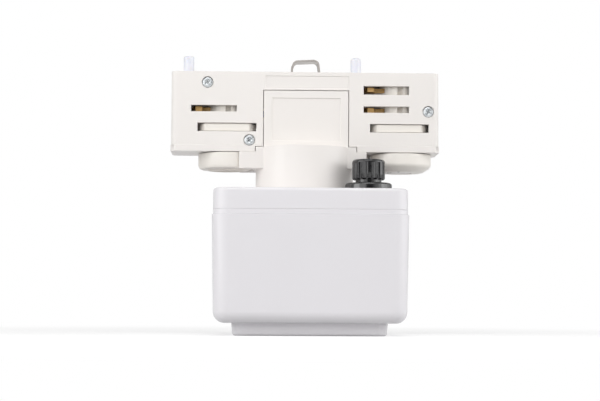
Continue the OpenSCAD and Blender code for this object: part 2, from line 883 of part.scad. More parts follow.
// Slot that a leg of the earth clip stands in
module clip_slot(side, z0, z1) {
    block([-clip_half - clip_gap, side * clip_x - clip_slot_half, z0 - 1],
        [clip_half + clip_gap, side * clip_x + clip_slot_half, z1 + 1]);
}

// Square frame with the round plug well behind it
module socket_face() {
    color(box_white)
        translate([box_x, 0, 0])
            difference() {
                union() {
                    hull()
                        for (sx = [-1, 1], sy = [-1, 1])
                            translate([sx * frame_corner, sy * frame_corner, 0]) {
                                cylinder(h = frame_edge, r1 = frame_r - frame_edge, r2 = frame_r);
                                translate([0, 0, frame_edge])
                                    cylinder(h = box_z - frame_edge, r = frame_r);
                            }
                    post(0, 0, well_r + well_wall, box_z - 1, well_top);
                }
                difference() {
                    post(0, 0, well_r, -1, well_depth);
                    // Guide ribs beside the plug
                    for (side = [-1, 1])
                        translate([side * rib_x, 0, rib_middle])
                            cube(rib_size, center = true);
                }
                for (side = [-1, 1]) {
                    post(side * pin_x, 0, pin_hole_r, well_depth - 1, well_top + 1);
                    clip_slot(side, well_depth, well_top);
                }
                post(0, 0, centre_head_r + 0.1, well_depth - 1, well_depth + 1.2);
                post(0, 0, centre_shank_r + 0.15, well_depth, well_top + 1);
                for (sx = [-1, 1], sy = [-1, 1]) {
                    post(sx * corner_screw, sy * corner_screw, corner_shank_r + 0.35, -1, box_z + 1);
                    post(sx * corner_screw, sy * corner_screw, corner_head_r + 0.2, -1, 2);
                }
            }
}

module socket_base() {
    color(box_white)
        translate([box_x, 0, 0])
            difference() {
                post(0, 0, base_outer_r, base_z, base_top);
                for (side = [-1, 1]) {
                    post(side * pin_x, 0, sleeve_r + fit_gap, base_z - 1, base_top + 1);
                    clip_slot(side, base_z, base_top);
                }
                post(0, 0, centre_shank_r + fit_gap, base_z - 1, base_top - 1);
            }
}

// Split pin sleeve with a collar and a solder tag
module sleeve(side) {
    color(brass)
        translate([box_x, 0, 0])
            difference() {
                union() {
                    post(side * pin_x, 0, sleeve_r, sleeve_z0, sleeve_top);
                    post(side * pin_x, 0, collar_r, base_top, base_top + collar_h);
                    translate([side * tag_x, 0, base_top + collar_h / 2])
                        cube(tag_size, center = true);
                }
                post(side * pin_x, 0, pin_bore_r, sleeve_z0 - 1, sleeve_top + 1);
                translate([side * pin_x, pin_hole_r, sleeve_z0 + 4])
                    cube(split_size, center = true);
            }
}

module sleeve_neutral() {
    sleeve(-1);
}

module sleeve_live() {
    sleeve(1);
}

// One bent strip over the base, with a spring clip on each side of the well
module earth_clip() {
    half = [[19, 4.4], [18.3, 6], [17.3, 8.5], [16.9, 10.4], [17.2, 12.4], [18.2, 15], [18.7, 17],
        [18.8, 19], [18.8, base_top - 0.4], [18.5, base_top + 0.3], [17.8, base_top + clip_t / 2 + 0.06]];
    mirrored = [for (i = [len(half) - 1 : -1 : 0]) [-half[i][0], half[i][1]]];
    color(zinc)
        translate([box_x - clip_half, 0, 0])
            rotate([90, 0, 90])
                linear_extrude(2 * clip_half)
                    polygon(strip_outline(concat(half, mirrored), clip_t));
}

module socket_centre_screw() {
    color(zinc)
        translate([box_x, 0, 0])
            difference() {
                union() {
                    post(0, 0, centre_head_r, well_depth + 0.1, well_depth + 1.2);
                    post(0, 0, centre_shank_r, well_depth + 1, base_top - 1.5);
                }
                translate([0, 0, well_depth])
                    cube(centre_slot, center = true);
            }
}

module socket_screws() {
    color(zinc)
        for (sx = [-1, 1], sy = [-1, 1])
            translate([box_x + sx * corner_screw, sy * corner_screw, 0])
                difference() {
                    union() {
                        post(0, 0, corner_head_r, 0.5, 2);
                        post(0, 0, corner_shank_r, 1.9, corner_end);
                    }
                    translate([0, 0, 0.5])
                        for (turn = [0, 90])
                            rotate([0, 0, turn])
                                cube(corner_cross, center = true);
                }
}

module fuse_holder_body() {
    color(black_plastic)
        translate([fuse_x, fuse_y, 0])
            difference() {
                union() {
                    post(0, 0, flange_r, box_top, flange_top - flange_edge);
                    translate([0, 0, flange_top - flange_edge])
                        cylinder(h = flange_edge, r1 = flange_r, r2 = flange_r - flange_edge);
                    post(0, 0, holder_r, holder_z0, box_top);
                }
                post(0, 0, holder_bore_r, holder_bore_z, flange_top + 1);
                post(0, 0, terminal_hole_r, holder_z0 - 1, holder_bore_z + 1);
                rotate([0, 0, side_tag_turn])
                    block([holder_bore_r - 0.3, -side_tag_half, side_tag_z - side_tag_t],
                        [10, side_tag_half, side_tag_z + side_tag_t]);
            }
}

module fuse_holder_nut() {
    color(black_plastic)
        translate([fuse_x, fuse_y, box_top - cap_wall - holder_nut_h])
            difference() {
                cylinder(h = holder_nut_h, r = holder_nut_r, $fn = 6);
                post(0, 0, holder_r + fit_gap, -1, holder_nut_h + 1);
            }
}

// Ribbed bayonet cap with the tube that holds the fuse
module fuse_cap() {
    color(black_plastic)
        translate([fuse_x, fuse_y, 0])
            difference() {
                union() {
                    post(0, 0, cap_r, cap_z0, cap_z1 - cap_edge_h);
                    translate([0, 0, cap_z1 - cap_edge_h])
                        cylinder(h = cap_edge_h, r1 = cap_r, r2 = cap_r - cap_edge_h);
                    post(0, 0, cap_neck_r, flange_top + 0.1, cap_z0);
                    post(0, 0, carrier_tube_r, fuse_z0 + 4, flange_top + 0.1);
                }
                for (i = [0 : cap_ribs - 1])
                    rotate([0, 0, (i + 0.5) * 360 / cap_ribs])
                        translate([cap_r + 0.1, 0, cap_z0 - 1])
                            cylinder(h = cap_z1 - cap_z0 - 0.2, r = rib_groove_r, $fn = 16);
                post(0, 0, fuse_r + 0.3, fuse_z0, fuse_z0 + fuse_l + 0.3);
                translate([0, 0, cap_z1])
                    cube(cap_slot, center = true);
            }
}

module fuse_glass() {
    color([0.85, 0.92, 0.95, 0.4])
        post(fuse_x, fuse_y, fuse_r - 0.15, fuse_z0 + end_cap_l, fuse_z0 + fuse_l - end_cap_l);
}

module fuse_end_caps() {
    color(zinc)
        for (z = [fuse_z0, fuse_z0 + fuse_l - end_cap_l])
            post(fuse_x, fuse_y, fuse_r, z, z + end_cap_l);
}

module fuse_end_terminal() {
    color(brass) {
        post(fuse_x, fuse_y, terminal_r, holder_bore_z, holder_bore_z + 0.8);
        post(fuse_x, fuse_y, 2, holder_bore_z, fuse_z0 - 0.1);
        post(fuse_x, fuse_y, terminal_hole_r - fit_gap, terminal_end, holder_bore_z + 0.1);
    }
}

module fuse_side_terminal() {
    color(brass)
        translate([fuse_x, fuse_y, 0])
            rotate([0, 0, side_tag_turn])
                block([holder_bore_r + 0.3, -side_tag_half, side_tag_z - side_tag_t],
                    [9.2, side_tag_half, side_tag_z + side_tag_t]);
}

module earth_wire() {
    color([0.45, 0.7, 0.2])
        wire(earth_route);
}

module neutral_wire() {
    color([0.15, 0.35, 0.75])
        wire(neutral_route);
}

module live_wire_upper() {
    color([0.4, 0.22, 0.12])
        wire(live_upper_route);
}

module live_wire_lower() {
    color([0.4, 0.22, 0.12])
        wire(live_lower_route);
}

front_shell();
rear_shell();
hub();
housing_screws();
coding_pin_left();
coding_pin_right();
earth_spring();
locking_lever();
neutral_contact();
neutral_wiper();
phase_lever();
phase_contact_upper();
phase_contact_lower();
phase_wiper_upper();
phase_wiper_lower();
phase_dial();
threaded_nipple();
nipple_nuts();
nipple_washer();
box_cap();
box_body();
socket_face();
socket_base();
sleeve_neutral();
sleeve_live();
earth_clip();
socket_centre_screw();
socket_screws();
fuse_holder_body();
fuse_holder_nut();
fuse_cap();
fuse_glass();
fuse_end_caps();
fuse_end_terminal();
fuse_side_terminal();
earth_wire();
neutral_wire();
live_wire_upper();
live_wire_lower();
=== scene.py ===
"""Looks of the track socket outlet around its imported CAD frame. Lengths are written in millimetres
and turned into metres by MM or mm()."""
import json
import math

import bmesh
import bpy
from mathutils import Matrix, Vector


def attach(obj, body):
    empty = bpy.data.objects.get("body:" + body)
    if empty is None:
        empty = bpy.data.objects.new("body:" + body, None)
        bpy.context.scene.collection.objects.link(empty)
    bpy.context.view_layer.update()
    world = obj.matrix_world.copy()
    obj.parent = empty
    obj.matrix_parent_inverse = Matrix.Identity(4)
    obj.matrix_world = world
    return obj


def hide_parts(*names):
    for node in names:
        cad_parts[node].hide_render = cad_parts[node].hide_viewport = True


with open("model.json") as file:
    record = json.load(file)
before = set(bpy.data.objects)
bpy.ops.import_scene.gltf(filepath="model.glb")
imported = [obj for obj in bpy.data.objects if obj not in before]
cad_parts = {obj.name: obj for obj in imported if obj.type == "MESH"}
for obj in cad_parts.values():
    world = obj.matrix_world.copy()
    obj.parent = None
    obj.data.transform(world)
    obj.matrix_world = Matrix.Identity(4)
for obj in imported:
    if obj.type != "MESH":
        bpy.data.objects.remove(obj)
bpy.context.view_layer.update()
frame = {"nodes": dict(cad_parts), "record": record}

MM = 0.001
scene = bpy.context.scene
nodes = frame["nodes"]


def mm(*values):
    return Vector([v * MM for v in values])


# Camera

# The photograph's camera: about 590 mm in front of the neck, a little to its left and
# barely above the standing face, looking up by four degrees
CAM_DISTANCE = 590.0
CAM_YAW = math.radians(1.8)
CAM_HEIGHT = 10.5
CAM_ROLL = math.radians(0.3)
# Pixels of the photograph
FOCAL_PX = 1490.0
FRAME_PX = (600, 401)
HORIZON_ROW = 308.0
NECK_COLUMN = 304.2
SENSOR_WIDTH = 36.0
# Nearest and farthest thing seen, in metres
CLIP = (0.01, 50)


def make_camera():
    data = bpy.data.cameras.new("camera")
    data.sensor_width = SENSOR_WIDTH
    data.lens = FOCAL_PX * SENSOR_WIDTH / FRAME_PX[0]
    data.clip_start, data.clip_end = CLIP
    cam = bpy.data.objects.new("camera", data)
    scene.collection.objects.link(cam)
    heading = CAM_YAW - math.atan((NECK_COLUMN - FRAME_PX[0] / 2) / FOCAL_PX)
    pitch = math.atan((HORIZON_ROW - FRAME_PX[1] / 2) / FOCAL_PX)
    level = Vector((math.sin(heading), math.cos(heading), 0))
    look = level * math.cos(pitch) + Vector((0, 0, math.sin(pitch)))
    right = level.cross(Vector((0, 0, 1))).normalized()
    up = right.cross(look)
    side = right * math.cos(CAM_ROLL) + up * math.sin(CAM_ROLL)
    top = up * math.cos(CAM_ROLL) - right * math.sin(CAM_ROLL)
    eye = mm(-CAM_DISTANCE * math.sin(CAM_YAW), -CAM_DISTANCE * math.cos(CAM_YAW), CAM_HEIGHT)
    turn = Matrix((side, top, -look)).transposed()
    cam.matrix_world = Matrix.Translation(eye) @ turn.to_4x4()
    scene.camera = cam


make_camera()

# Materials

# Lowest and highest value that a noise mostly takes
NOISE_SPAN = (0.3, 0.7)
# The same for a patchy stain, whose edges are harder
STAIN_SPAN = (0.35, 0.65)


def add_node(tree, kind, inputs=None, **settings):
    """A shader node. Each of its inputs is given a value, or another node's output."""
    node = tree.nodes.new("ShaderNode" + kind)
    for name, value in settings.items():
        setattr(node, name, value)
    for name, value in (inputs or {}).items():
        if isinstance(value, bpy.types.NodeSocket):
            tree.links.new(value, node.inputs[name])
        else:
            node.inputs[name].default_value = value
    return node


def principled(name):
    m = bpy.data.materials.new(name)
    m.use_nodes = True
    return m, m.node_tree, m.node_tree.nodes["Principled BSDF"]


def noise(tree, scale, detail=3.0, rough=0.5, stretch=None):
    """A noise texture in metres of the row frame; scale is one over the size of a feature."""
    source = add_node(tree, "TexCoord").outputs["Object"]
    if stretch:
        source = add_node(tree, "Mapping", {"Vector": source, "Scale": stretch}).outputs["Vector"]
    tex = add_node(tree, "TexNoise", {"Vector": source, "Scale": scale, "Detail": detail,
                                      "Roughness": rough})
    return tex.outputs["Fac"]


def ramp(tree, fac, limits, a, b):
    """A colour that goes from a to b while fac goes from the first limit to the second."""
    node = add_node(tree, "ValToRGB", {"Fac": fac})
    for element, position, color in zip(node.color_ramp.elements, limits, (a, b)):
        element.position = position
        element.color = (*color, 1)
    return node.outputs["Color"]


def span(tree, fac, limits, a, b):
    """A number that goes from a to b while fac goes from the first limit to the second."""
    node = add_node(tree, "MapRange", {"Value": fac, "From Min": limits[0], "From Max": limits[1],
                                       "To Min": a, "To Max": b})
    return node.outputs["Result"]


def add_bump(tree, height, distance_mm, normal=None):
    inputs = {"Height": height, "Strength": 1.0, "Distance": distance_mm * MM}
    if normal:
        inputs["Normal"] = normal
    return add_node(tree, "Bump", inputs).outputs["Normal"]


PLASTIC_IOR = 1.49


def plastic(name, color, rough, rough_spread, drift, grain, wave=None):
    """Moulded plastic: slow drift of the colour, fine grain of the mould, and shallow sink waves.
    Grain and wave are a size and a depth in millimetres."""
    m, tree, bsdf = principled(name)
    dark = tuple(c * (1 - drift) for c in color)
    tree.links.new(ramp(tree, noise(tree, 32, 4), NOISE_SPAN, dark, color),
                   bsdf.inputs["Base Color"])
    patch = noise(tree, 140, 5, 0.6)
    tree.links.new(span(tree, patch, NOISE_SPAN, rough - rough_spread, rough + rough_spread),
                   bsdf.inputs["Roughness"])
    normal = add_bump(tree, noise(tree, 1 / (grain[0] * MM), 2), grain[1])
    if wave:
        normal = add_bump(tree, noise(tree, 1 / (wave[0] * MM), 1), wave[1], normal)
    tree.links.new(normal, bsdf.inputs["Normal"])
    bsdf.inputs["IOR"].default_value = PLASTIC_IOR
    return m


def metal(name, bright, dull, rough, rough_spread, stretch, line_depth_mm, stain_scale):
    """Stamped or plated metal: stains in the colour, and fine drawn lines along one direction."""
    m, tree, bsdf = principled(name)
    bsdf.inputs["Metallic"].default_value = 1.0
    stain = noise(tree, stain_scale, 6, 0.62)
    tree.links.new(ramp(tree, stain, STAIN_SPAN, dull, bright), bsdf.inputs["Base Color"])
    lines = noise(tree, 1.0, 3, 0.6, stretch)
    tree.links.new(span(tree, lines, NOISE_SPAN, rough - rough_spread, rough + rough_spread),
                   bsdf.inputs["Roughness"])
    tree.links.new(add_bump(tree, lines, line_depth_mm), bsdf.inputs["Normal"])
    return m


def fuse_glass(name):
    m, tree, bsdf = principled(name)
    tint = ramp(tree, noise(tree, 500, 3), NOISE_SPAN, (0.88, 0.94, 0.94), (0.95, 0.98, 0.98))
    tree.links.new(tint, bsdf.inputs["Base Color"])
    tree.links.new(span(tree, noise(tree, 900, 3), NOISE_SPAN, 0.02, 0.08),
                   bsdf.inputs["Roughness"])
    bsdf.inputs["Transmission Weight"].default_value = 0.9
    bsdf.inputs["IOR"].default_value = 1.5
    return m


BLACK = (0.009, 0.009, 0.010)
BLACK_IOR = 1.7
WIRE_GRAIN = (0.2, 0.01)

# Name: colour, roughness and its spread, drift of the colour, grain and, where there is one, wave
PLASTICS = {
    "adapter_plastic": ((0.905, 0.870, 0.838), 0.36, 0.04, 0.02, (0.35, 0.006), (9, 0.03)),
    "knob_plastic": ((0.925, 0.885, 0.825), 0.38, 0.04, 0.025, (0.35, 0.006), (7, 0.02)),
    "pin_plastic": ((0.84, 0.85, 0.92), 0.34, 0.05, 0.02, (0.3, 0.004)),
    "box_plastic": ((0.870, 0.853, 0.880), 0.22, 0.03, 0.012, (0.8, 0.0015), (22, 0.03)),
    "base_plastic": ((0.80, 0.80, 0.78), 0.5, 0.06, 0.03, (0.3, 0.01)),
    "black_plastic": (BLACK, 0.17, 0.03, 0.3, (0.5, 0.003), (4, 0.01)),
    "black_cap": (BLACK, 0.18, 0.03, 0.3, (0.5, 0.003), (4, 0.01)),
    "earth_insulation": ((0.30, 0.52, 0.08), 0.5, 0.05, 0.1, WIRE_GRAIN),
    "neutral_insulation": ((0.03, 0.12, 0.5), 0.5, 0.05, 0.1, WIRE_GRAIN),
    "live_insulation": ((0.16, 0.06, 0.025), 0.5, 0.05, 0.1, WIRE_GRAIN),
    "print_grey": ((0.10, 0.10, 0.11), 0.5, 0.05, 0.1, (0.2, 0.004)),
}

# Name: bright and dull colour, roughness and its spread, stretch of the drawn lines along the
# axes, their depth, and scale of the stains
METALS = {
    "brass": ((0.66, 0.44, 0.20), (0.50, 0.32, 0.13), 0.52, 0.06, (60, 2400, 2400), 0.004, 220),
    "zinc_steel": ((0.66, 0.68, 0.69), (0.48, 0.51, 0.53), 0.26, 0.08, (1500, 1500, 1500),
                   0.004, 900),
    "spring_steel": ((0.55, 0.52, 0.49), (0.42, 0.39, 0.37), 0.34, 0.08, (200, 3000, 200),
                     0.003, 220),
}

MATERIALS = {name: plastic(name, *row) for name, row in PLASTICS.items()}
MATERIALS.update({name: metal(name, *row) for name, row in METALS.items()})
MATERIALS["fuse_glass"] = fuse_glass("fuse_glass")


def adjust(material, values):
    """Gives inputs of a finished material other values."""
    bsdf = MATERIALS[material].node_tree.nodes["Principled BSDF"]
    for name, value in values.items():
        bsdf.inputs[name].default_value = value


adjust("pin_plastic", {"Subsurface Weight": 0.25, "Subsurface Radius": (1.0, 0.8, 0.6),
                       "Subsurface Scale": 0.8 * MM})
adjust("black_plastic", {"IOR": BLACK_IOR, "Specular IOR Level": 0.68})
adjust("black_cap", {"IOR": BLACK_IOR})

# Mesh helpers

# Edges sharper than this stay crisp in a smooth mesh, in degrees
CRISP_ANGLE = 32
NORMAL_WEIGHT = 60
# Steps of the quarter rounds in a lathe's profile
FILLET_STEPS = 7


def smooth(obj):
    """Smooth faces, crisp edges, and normals that follow the large faces."""
    for p in obj.data.polygons:
        p.use_smooth = True
    obj.data.set_sharp_from_angle(angle=math.radians(CRISP_ANGLE))
    weighted = obj.modifiers.new("weighted", "WEIGHTED_NORMAL")
    weighted.keep_sharp = True
    weighted.weight = NORMAL_WEIGHT


def bare_object(name, bm):
    bmesh.ops.recalc_face_normals(bm, faces=bm.faces)
    mesh = bpy.data.meshes.new(name)
    bm.to_mesh(mesh)
    bm.free()
    obj = bpy.data.objects.new(name, mesh)
    scene.collection.objects.link(obj)
    return obj


def new_object(name, bm, material):
    obj = bare_object(name, bm)
    obj.data.materials.append(MATERIALS[material])
    smooth(obj)
    return obj


def place(obj, body, slot, *replaced):
    """Puts a piece on its body and hides the nodes it replaces. The slot is not used; the frame has
    no slot for print."""
    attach(obj, body)
    if replaced:
        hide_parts(*replaced)


def node_bmesh(node):
    """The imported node's mesh with its seams welded and its flat faces whole."""
    bm = bmesh.new()
    bm.from_mesh(nodes[node].data)
    bmesh.ops.remove_doubles(bm, verts=bm.verts, dist=1e-6)
    bmesh.ops.dissolve_limit(bm, angle_limit=math.radians(0.3), verts=bm.verts, edges=bm.edges)
    return bm


def soften(bm, width, segments, keep=None, angle=35):
    """Rounds the sharp edges, or those of them that keep() picks."""
    edges = [e for e in bm.edges
             if len(e.link_faces) == 2 and e.calc_face_angle(0) > math.radians(angle)
             and (keep is None or keep(e))]
    bmesh.ops.bevel(bm, geom=edges, offset=width * MM, segments=segments, profile=0.5,
                    affect="EDGES", clamp_overlap=False, loop_slide=True)


def moulded(node, body, slot, width, segments=2, keep=None, angle=35):
    """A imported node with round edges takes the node's place."""
    bm = node_bmesh(node)
    soften(bm, width, segments, keep, angle)
    place(new_object(node + "_moulded", bm, slot), body, slot, node)


def ring_loft(loops, closed=True):
    """Faces between loops of as many points each. A closed loft joins the last loop to the first,
    and an open one has a face at each end."""
    bm = bmesh.new()
    rings = [[bm.verts.new(p) for p in loop] for loop in loops]
    count = len(rings[0])
    following = rings[1:] + rings[:1] if closed else rings[1:]
    for a, b in zip(rings, following):
        for i in range(count):
            j = (i + 1) % count
            bm.faces.new((a[i], a[j], b[j], b[i]))
    if not closed:
        bm.faces.new(rings[0])
        bm.faces.new(rings[-1])
    return bm


def lathe(profile, count, centre, shape=None):
    """Turns (r, z) points round an upright axis. A profile that starts and ends on the axis is
    closed there; any other one is closed by joining its ends. shape(a, r, z) gives the radius at
    the angle a in place of r."""
    bm = bmesh.new()
    rings = []
    for r, z in profile:
        if r < 1e-6:
            rings.append([bm.verts.new(mm(centre[0], centre[1], z))])
            continue
        ring = []
        for i in range(count):
            a = 2 * math.pi * i / count
            rr = shape(a, r, z) if shape else r
            point = mm(centre[0] + rr * math.cos(a), centre[1] + rr * math.sin(a), z)
            ring.append(bm.verts.new(point))
        rings.append(ring)
    on_axis = len(rings[0]) == 1
    following = rings[1:] if on_axis else rings[1:] + rings[:1]
    for a, b in zip(rings, following):
        for i in range(count):
            j = (i + 1) % count
            if len(a) == 1:
                bm.faces.new((a[0], b[i], b[j]))
            elif len(b) == 1:
                bm.faces.new((a[i], b[0], a[j]))
            else:
                bm.faces.new((a[i], b[i], b[j], a[j]))
    return bm


def quarter_turn(steps):
    return [math.radians(90 * i / steps) for i in range(steps + 1)]


def fillet(r, z, radius):
    """Points of a quarter round in a profile, from its side to its top, about (r, z)."""
    return [(r + radius * math.cos(a), z + radius * math.sin(a))
            for a in quarter_turn(FILLET_STEPS)]


def setbacks(radius, steps):
    """How far the points of a quarter round lie behind the first and the second of its faces."""
    return [(radius * (1 - math.cos(a)), radius * (1 - math.sin(a))) for a in quarter_turn(steps)]


def bake(obj):
    """Applies an object's modifiers to its mesh."""
    graph = bpy.context.evaluated_depsgraph_get()
    mesh = bpy.data.meshes.new_from_object(obj.evaluated_get(graph))
    obj.modifiers.clear()
    obj.data = mesh


def cut(obj, cutters, mode="DIFFERENCE"):
    """Cuts closed bmeshes out of an object, or joins them to it."""
    obj.modifiers.clear()
    tools = [bare_object("cutter", bm) for bm in cutters]
    for tool in tools:
        mod = obj.modifiers.new("cut", "BOOLEAN")
        mod.operation = mode
        mod.solver = "EXACT"
        mod.object = tool
    bake(obj)
    for tool in tools:
        bpy.data.objects.remove(tool)
    smooth(obj)


def block(low, high, matrix=None):
    """A box between two corners, which matrix may then move."""
    bm = bmesh.new()
    bmesh.ops.create_cube(bm, size=1)
    low, high = mm(*low), mm(*high)
    for v in bm.verts:
        v.co = Vector((low[k] if v.co[k] < 0 else high[k] for k in range(3)))
    if matrix:
        bmesh.ops.transform(bm, matrix=matrix, verts=bm.verts)
    return bm


def upright(radius, z0, z1, centre, count=48):
    """A closed cylinder for cutting."""
    return lathe([(0, z0), (radius, z0), (radius, z1), (0, z1)], count, centre)


def turned(degrees, axis="Z"):
    return Matrix.Rotation(math.radians(degrees), 4, axis)


# Adapter shells, hub and levers

FACE = 9.5
BODY_TOP = 103.0
BODY_END = 52.55
UNDERSIDE = 71.5
# Shorter edges of a shell are steps of a curve and stay as they are
SHORT_EDGE = 0.12
PHASE_X = 37.0
PHASE_TAB = 3.0
PHASE_KNOB = 64.2
BEVEL_H = 2.2
BEVEL_ROUND = 0.9
# The knob's edges nearer to its axis than this belong to the dial's seat
DIAL_SEAT = 6.5
NEAR = 0.02
SHELL_ROUND = 0.16
LEVER_ROUND = 0.12


def on_shell_outside(e):
    """Edges of a shell that lie on its front, back, top, ends or underside."""
    def outside(p):
        return (abs(p.y) > FACE - NEAR or p.z > BODY_TOP - NEAR or abs(p.x) > BODY_END
                or p.z < UNDERSIDE + NEAR)
    a, b = (v.co / MM for v in e.verts)
    on_parting = abs(a.y) < 0.01 and abs(b.y) < 0.01
    return outside(a) and outside(b) and not on_parting and e.calc_length() > SHORT_EDGE * MM


def on_knob_bevel(e):
    """Level edges at the top and bottom of the phase knob's bevel."""
    for v in e.verts:
        x, y, z = v.co / MM
        near = min(abs(z - PHASE_KNOB), abs(z - PHASE_KNOB - BEVEL_H)) < NEAR
        along = max(x - PHASE_X - PHASE_TAB, 0) + min(x - PHASE_X, 0)
        if not near or math.hypot(along, y) < DIAL_SEAT:
            return False
    return abs(e.verts[0].co.z - e.verts[1].co.z) < NEAR * MM


def make_phase_lever():
    """The knob's bevel runs into its side and underside with round edges."""
    bm = node_bmesh("phase_lever")
    soften(bm, BEVEL_ROUND, 5, on_knob_bevel, 15)
    soften(bm, LEVER_ROUND, 2)
    obj = new_object("phase_lever_moulded", bm, "knob_plastic")
    place(obj, "phase_lever", "knob_plastic", "phase_lever")


moulded("front_shell", "housing", "adapter_plastic", SHELL_ROUND, keep=on_shell_outside)
moulded("rear_shell", "housing", "adapter_plastic", SHELL_ROUND, keep=on_shell_outside)
moulded("hub", "housing", "adapter_plastic", SHELL_ROUND)
moulded("locking_lever", "locking_lever", "knob_plastic", LEVER_ROUND)
make_phase_lever()

# Box

BOX_X = 1.5
BOX_CENTRE = (BOX_X, 0)
BOX_HALF = 37.1
BOX_RADIUS = 6.0
BASE_RADIUS = 4.4
BOX_BASE = 4.8
BOX_WALL = 2.4
INNER_RADIUS = 3.6
PART_Z = 45.5
PART_GAP = 0.01
DRAFT = 0.6
WELL_RADIUS = 19.7
WELL_HOLE = WELL_RADIUS + 2.85
NIPPLE_RADIUS = 6.45
HOLDER_RADIUS = 6.2
FUSE_PLACE = (24.3, -17.0)
CORNER_SCREW = 23.5
CORNERS = [(BOX_X + sx * CORNER_SCREW, sy * CORNER_SCREW) for sx in (-1, 1) for sy in (-1, 1)]
SCREW_HOLE = 1.3
# Cutters reach past a face by this
PAST = 1

LID_TOP = 55.4
LID_INSET = 0.4
LID_WALL = 2.2
LID_INNER_RADIUS = 3.8
LID_EDGE = 1.25
LID_SIDE_Z = 51.0
# Heights between which the holes in the lid are cut
LID_HOLE_Z = (50, 60)
LIP_LOW = 42.5
LIP_HIGH = 47.0
LINE_Z = 47.3

# Rounded square of the box: steps in each corner, and of each side
LOOP_ARC = 18
LOOP_SIDE = 8
# Setback and height above the floor, from the floor to the wall
INNER_FILLET = ((1.8, 0), (0.9, 0.25), (0.25, 0.9), (0, 1.8))
# Depth and height about its middle of the fine line around the lid
LID_LINE = ((0, -0.16), (0.04, -0.11), (0.22, -0.06), (0.25, 0), (0.22, 0.06), (0.04, 0.11),
            (0, 0.16))


def box_loop(half, radius, z):
    """A rounded square about the box's middle."""
    radius = max(radius, 0.4)
    points = []
    for quarter in range(4):
        for i in range(LOOP_ARC + 1):
            a = math.radians(90 * quarter + 90 * i / LOOP_ARC)
            cx, cy = [(1, 1), (-1, 1), (-1, -1), (1, -1)][quarter]
            points.append((cx * (half - radius) + radius * math.cos(a),
                           cy * (half - radius) + radius * math.sin(a)))
        x0, y0 = points[-1]
        nx, ny = [(-1, 1), (-1, -1), (1, -1), (1, 1)][quarter]
        a = math.radians(90 * (quarter + 1))
        x1 = nx * (half - radius) + radius * math.cos(a)
        y1 = ny * (half - radius) + radius * math.sin(a)
        for i in range(1, LOOP_SIDE):
            t = i / LOOP_SIDE
            points.append((x0 + (x1 - x0) * t, y0 + (y1 - y0) * t))
    return [mm(x + BOX_X, y, z) for x, y in points]


def box_circle(loop, radius, z):
    """A circle about the box's middle, whose points lie at the angles of a loop's points."""
    out = []
    for p in loop:
        x, y = p.x / MM - BOX_X, p.y / MM
        n = math.hypot(x, y)
        out.append(mm(BOX_X + x / n * radius, y / n * radius, z))
    return out


def make_box_body():
    loops = [box_loop(BOX_HALF - 0.22, BOX_RADIUS - 0.2, PART_Z - PART_GAP),
             box_loop(BOX_HALF - 0.06, BOX_RADIUS, PART_Z - 0.07),
             box_loop(BOX_HALF, BOX_RADIUS, PART_Z - 0.22)]
    for i in range(1, 6):
        t = i / 6
        z = PART_Z + (BOX_BASE + BASE_RADIUS - PART_Z) * t
        loops.append(box_loop(BOX_HALF - DRAFT * t, BOX_RADIUS, z))
    for inset, rise in setbacks(BASE_RADIUS, 12):
        loops.append(box_loop(BOX_HALF - DRAFT - inset, BOX_RADIUS - inset, BOX_BASE + rise))
    floor_top = BOX_BASE + BOX_WALL
    guide = loops[-1]
    loops += [box_circle(guide, WELL_HOLE, BOX_BASE), box_circle(guide, WELL_HOLE, floor_top)]
    inner = BOX_HALF - BOX_WALL
    for inset, rise in INNER_FILLET:
        loops.append(box_loop(inner - inset, INNER_RADIUS - inset, floor_top + rise))
    loops.append(box_loop(inner, INNER_RADIUS, PART_Z - PART_GAP))
    obj = new_object("box_body_moulded", ring_loft(loops), "box_plastic")
    cut(obj, [upright(SCREW_HOLE, BOX_BASE - PAST, floor_top + PAST, corner, 24)
              for corner in CORNERS])
    place(obj, "housing", "box_plastic", "box_body")


def make_box_cap():
    half = BOX_HALF - LID_INSET
    inner = half - LID_WALL
    lip = BOX_HALF - BOX_WALL - 0.1
    lip_inner = lip - 1.5
    ceiling = LID_TOP - LID_WALL
    loops = [box_loop(inner - 1.2, LID_INNER_RADIUS, ceiling),
             box_loop(inner, LID_INNER_RADIUS, ceiling - 0.7),
             box_loop(inner, LID_INNER_RADIUS, LIP_HIGH),
             box_loop(lip_inner, 2.0, LIP_HIGH),
             box_loop(lip_inner, 2.0, LIP_LOW),
             box_loop(lip - 0.15, INNER_RADIUS - 0.2, LIP_LOW),
             box_loop(lip, INNER_RADIUS, LIP_LOW + 0.25),
             box_loop(lip, INNER_RADIUS, PART_Z),
             box_loop(half - 0.2, BOX_RADIUS - 0.2, PART_Z),
             box_loop(half - 0.05, BOX_RADIUS, PART_Z + 0.06),
             box_loop(half, BOX_RADIUS, PART_Z + 0.2)]
    for inset, rise in LID_LINE:
        loops.append(box_loop(half - inset, BOX_RADIUS - inset, LINE_Z + rise))
    loops.append(box_loop(half - 0.03, BOX_RADIUS, LID_SIDE_Z))
    for back, drop in setbacks(LID_EDGE, 7):
        inset = 0.05 + back
        loops.append(box_loop(half - inset, BOX_RADIUS - inset, LID_TOP - drop))
    obj = new_object("box_cap_moulded", ring_loft(loops, closed=False), "box_plastic")
    cut(obj, [upright(NIPPLE_RADIUS + 0.05, *LID_HOLE_Z, (0, 0)),
              upright(HOLDER_RADIUS + 0.1, *LID_HOLE_Z, FUSE_PLACE)])
    place(obj, "housing", "box_plastic", "box_cap")


# Socket face

